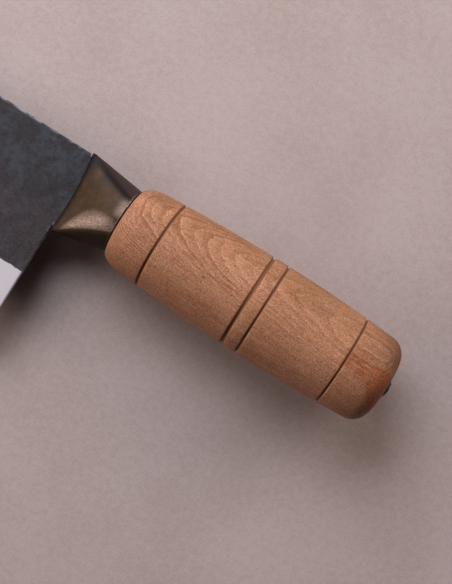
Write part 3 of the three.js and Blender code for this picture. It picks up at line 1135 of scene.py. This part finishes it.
# Two skins over the same grid, closed by a wall along every open edge
def layerMesh(name, bottom, high, low):
    spots, faces = bladeGrid(bottom)
    built = bmesh.new()
    worn = built.verts.layers.float.new("cut")
    skins = []
    for level in (high, low):
        corners = {}
        for c, column in enumerate(spots):
            for r, (x, y) in enumerate(column):
                corners[c, r] = built.verts.new((x, y, level(x, y)))
                corners[c, r][worn] = wornRim(x, y)
        skins.append(corners)
    upper, under = skins
    edgeUse = {}
    for c, r in faces:
        ring = [(c, r), (c, r + 1), (c + 1, r + 1), (c + 1, r)]
        built.faces.new([upper[k] for k in reversed(ring)])
        built.faces.new([under[k] for k in ring])
        for a, b in zip(ring, ring[1:] + ring[:1]):
            edgeUse.setdefault(frozenset((a, b)), []).append((a, b))
    for users in edgeUse.values():
        if len(users) == 1:
            a, b = users[0]
            built.faces.new([upper[a], upper[b], under[b], under[a]])
    bmesh.ops.remove_doubles(built, verts=built.verts, dist=blade["merge"])
    bmesh.ops.dissolve_degenerate(built, edges=built.edges, dist=blade["sliver"])
    loose = [vert for vert in built.verts if not vert.link_faces]
    bmesh.ops.delete(built, geom=loose, context="VERTS")
    bmesh.ops.recalc_face_normals(built, faces=built.faces)
    mesh = bpy.data.meshes.new(name)
    built.to_mesh(mesh)
    built.free()
    return mesh


def makeBlade():
    left = layerMesh("leftCladding", laminationY,
                     lambda x, y: claddingZ(x, y, 1), lambda x, y: claddingNear)
    right = layerMesh("rightCladding", laminationY,
                      lambda x, y: -claddingNear, lambda x, y: -claddingZ(x, y, -1))
    core = layerMesh("bladeCore", edgeY, coreZ, lambda x, y: -coreZ(x, y))
    return (addPiece("leftCladding", left, finishes["forge_scale"]),
            addPiece("rightCladding", right, finishes["forge_scale"]),
            addPiece("bladeCore", core, finishes["core_steel"], blade["coreSharp"]))


leftCladding, rightCladding, bladeCore = makeBlade()
print("blade layers made")


# Tang rod: the solid's own shape with its clenched end hammered uneven
rod = {
    "butt": 122.8,
    "cuts": 5,
    "dentsFrom": 0.25,      # beyond the butt
    "dents": 0.16,
    "dentSink": 0.6,
    "wide": 0.9,            # how many dents per mm
    "small": 2.3,
    "smallShare": 0.5,
    "narrow": 0.05,
    "narrowLeast": 0.5,
    "merge": 1e-6,
    "sharp": 35,
}


def makeRod():
    built = bmesh.new()
    built.from_mesh(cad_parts["tang_rod"].data)
    bmesh.ops.remove_doubles(built, verts=built.verts, dist=rod["merge"])
    built.transform(knifeMatrix.inverted())
    head = [edge for edge in built.edges if all(vert.co.x > rod["butt"] for vert in edge.verts)]
    bmesh.ops.subdivide_edges(built, edges=head, cuts=rod["cuts"], use_grid_fill=True)
    for vert in built.verts:
        if vert.co.x > rod["butt"] + rod["dentsFrom"]:
            dent = noise.noise(vert.co * rod["wide"])
            dent += rod["smallShare"] * noise.noise(vert.co * rod["small"])
            vert.co.x += rod["dents"] * (dent - rod["dentSink"])
            out = Vector((0, vert.co.y, vert.co.z))
            vert.co -= out * rod["narrow"] * (rod["narrowLeast"] + dent)
    mesh = bpy.data.meshes.new("tangRod")
    built.to_mesh(mesh)
    built.free()
    if "custom_normal" in mesh.attributes:
        mesh.attributes.remove(mesh.attributes["custom_normal"])
    return addPiece("tangRod", mesh, finishes["tang_iron"], rod["sharp"])


tangRod = makeRod()
print("rod end hammered")

# Floor and light
studio = {
    "floor": (0.486, 0.411, 0.404),
    "floorDark": (0.412, 0.335, 0.320),
    "floorSize": 6.0,
    "cloud": (22, 4, 0.55),
    "cloudFrom": (0.3, 0.75),
    "cloudTone": (0.17, 0.82),
    "speck": (420, 3, 0.6),
    "speckBy": 1.6,
    "grit": (1500, 2, 0.6),
    "gritBy": 2.2,
    "rough": 0.7,
    "specular": 0.1,
    "backdrop": (0.43, 0.352, 0.338),
    "floorEnds": (0.24, 0.6),  # metres from the middle, where the floor runs into the backdrop
    "world": (0.010, 0.009, 0.009),
    "litPoint": (40, 0, 0),
}
# Lamps: turn from the handle's direction toward the spine and rise over the table, both in degrees,
# distance in millimetres, size in metres, power in watts.
lamps = {
    "window": {"turn": 138, "rise": 43, "far": 1000, "size": (0.8, 0.65),
               "power": 11.6, "color": (0.96, 0.967, 1)},
    "left": {"turn": 204, "rise": 30, "far": 800, "size": (0.5, 0.34),
             "power": 2.7, "color": (1, 0.825, 0.74)},
    "right": {"turn": 60, "rise": 20, "far": 800, "size": (0.5, 0.4),
              "power": 3.05, "color": (1, 0.84, 0.765)},
    "overhead": {"turn": 222, "rise": 71, "far": 900, "size": (0.2, 0.2),
                 "power": 0.125, "color": (1, 0.97, 1)},
}


# What the camera and reflections see behind the object: a pale backdrop that adds no other light.
def seenRays(kit):
    rays = kit.add("ShaderNodeLightPath").outputs
    seen = kit.most(rays["Is Camera Ray"], rays["Is Glossy Ray"])
    return kit.most(seen, rays["Is Transmission Ray"])


def blendShaders(kit, share, near, far, output):
    mix = kit.add("ShaderNodeMixShader")
    kit.feed(mix.inputs[0], share)
    kit.feed(mix.inputs[1], near)
    kit.feed(mix.inputs[2], far)
    kit.feed(output.inputs["Surface"], mix.outputs[0])


def paleStone():
    finish = bpy.data.materials.new("paleStone")
    finish.use_nodes = True
    kit = nodeKit(finish.node_tree)
    nodes = finish.node_tree.nodes
    shader = nodes["Principled BSDF"]
    place = kit.add("ShaderNodeTexCoord").outputs["Object"]
    cloud, speck, grit = (kit.grain(place, *studio[layer]) for layer in ("cloud", "speck", "grit"))
    tone = kit.between(kit.within(cloud, *studio["cloudFrom"]), *studio["cloudTone"])
    tone = kit.plus(tone, kit.about(speck, studio["speckBy"]), kit.about(grit, studio["gritBy"]))
    color = kit.tint(kit.clamped(tone), studio["floor"], studio["floorDark"])
    dress(kit, shader, {"Base Color": color, "Roughness": studio["rough"],
                        "Specular IOR Level": studio["specular"]})
    away = kit.add("ShaderNodeVectorMath", operation="LENGTH")
    kit.feed(away.inputs[0], place)
    backdrop = kit.add("ShaderNodeEmission")
    backdrop.inputs["Color"].default_value = (*studio["backdrop"], 1)
    share = kit.times(seenRays(kit), kit.within(away.outputs["Value"], *studio["floorEnds"]))
    blendShaders(kit, share, shader.outputs[0], backdrop.outputs[0], nodes["Material Output"])
    return finish


def makeFloor():
    mesh = bpy.data.meshes.new("floor")
    half = studio["floorSize"] / 2
    corners = [(-half, -half, 0), (half, -half, 0), (half, half, 0), (-half, half, 0)]
    mesh.from_pydata(corners, [], [(0, 1, 2, 3)])
    mesh.materials.append(paleStone())
    floor = bpy.data.objects.new("floor", mesh)
    scene.collection.objects.link(floor)


def makeLight(name, lamp):
    data = bpy.data.lights.new(name, "AREA")
    data.shape = "RECTANGLE"
    data.size, data.size_y = lamp["size"]
    data.energy = lamp["power"]
    data.color = lamp["color"]
    light = bpy.data.objects.new(name, data)
    scene.collection.objects.link(light)
    turn, rise = math.radians(lamp["turn"]), math.radians(lamp["rise"])
    way = Vector((math.cos(rise) * math.cos(turn), math.cos(rise) * math.sin(turn), math.sin(rise)))
    light.location = onKnife(*(way * lamp["far"] + Vector(studio["litPoint"])))
    light.rotation_euler = (knifeTurn @ way).to_track_quat("Z", "Y").to_euler()


def makeRoom():
    world = bpy.data.worlds.new("room")
    world.use_nodes = True
    kit = nodeKit(world.node_tree)
    nodes = world.node_tree.nodes
    ambient = nodes["Background"]
    ambient.inputs["Color"].default_value = (*studio["world"], 1)
    backdrop = kit.add("ShaderNodeBackground")
    backdrop.inputs["Color"].default_value = (*studio["backdrop"], 1)
    blendShaders(kit, seenRays(kit), ambient.outputs[0], backdrop.outputs[0], nodes["World Output"])
    scene.world = world


makeFloor()
for name, lamp in lamps.items():
    makeLight(name, lamp)
makeRoom()
scene.view_settings.view_transform = "Standard"
print("floor and light set")

for piece, node, slot in ((turnedHandle, "handle", "wood"), (fishtailSleeve, "sleeve", "bronze"),
                          (leftCladding, "cladding_left", "forge_scale"),
                          (rightCladding, "cladding_right", "forge_scale"),
                          (bladeCore, "blade_core", "core_steel"), (tangRod, "tang_rod", "tang_iron")):
    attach(piece, "root")
    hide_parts(node)
for node in ("sleeve_filler", "handle_bedding"):
    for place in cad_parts[node].material_slots:
        place.material = finishes["resin"]
print("pieces on the frame")
